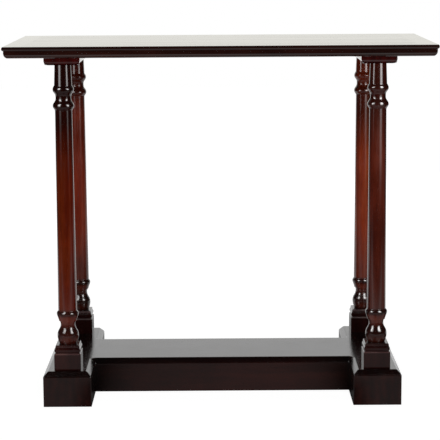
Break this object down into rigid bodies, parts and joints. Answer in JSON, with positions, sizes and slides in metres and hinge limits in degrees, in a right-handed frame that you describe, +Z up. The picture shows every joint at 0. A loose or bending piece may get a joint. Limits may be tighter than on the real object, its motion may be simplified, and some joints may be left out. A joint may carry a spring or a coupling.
{
  "type": "pier table",
  "caption": "Narrow console with a moulded rectangular top on turned columns, standing on runners joined by a low platform.",
  "frame": {"origin": "on the floor, under the middle of the top", "axes": "+Z up, +X along the table's length to the viewer's right, -Y towards the viewer at the front"},
  "size_m": [0.9, 0.45, 0.762],
  "materials": {
    "top_mahogany": "high gloss lacquer over dark mahogany stain",
    "bearer_mahogany": "high gloss lacquer over dark mahogany stain",
    "turned_mahogany": "high gloss lacquer over dark mahogany stain, redder on the shafts",
    "plinth_mahogany": "high gloss lacquer over dark mahogany stain",
    "base_mahogany": "high gloss lacquer over dark mahogany stain",
    "inner_softwood": "bare sawn softwood",
    "dowel_beech": "bare fluted beech",
    "zinc_steel": "bright zinc plate",
    "insert_brass": "plain turned brass"
  },
  "bodies": {
    "root": {"top_panel": "top_mahogany", "edge_moulding_front": "top_mahogany", "edge_moulding_back": "top_mahogany", "edge_moulding_left": "top_mahogany", "edge_moulding_right": "top_mahogany", "bearer_left": "bearer_mahogany", "bearer_right": "bearer_mahogany", "column_front_left": "turned_mahogany", "column_back_left": "turned_mahogany", "column_front_right": "turned_mahogany", "column_back_right": "turned_mahogany", "plinth_front_left": "plinth_mahogany", "plinth_back_left": "plinth_mahogany", "plinth_front_right": "plinth_mahogany", "plinth_back_right": "plinth_mahogany", "runner_left": "base_mahogany", "runner_right": "base_mahogany", "platform_board": "base_mahogany", "platform_apron_front": "base_mahogany", "platform_apron_back": "base_mahogany", "platform_block_left": "inner_softwood", "platform_block_right": "inner_softwood", "platform_glue_blocks": "inner_softwood", "platform_dowels": "dowel_beech", "platform_bolts": "zinc_steel", "platform_washers": "zinc_steel", "column_bolts": "zinc_steel", "column_washers": "zinc_steel", "column_inserts": "insert_brass", "bearer_screws": "zinc_steel"}
  },
  "joints": []
}
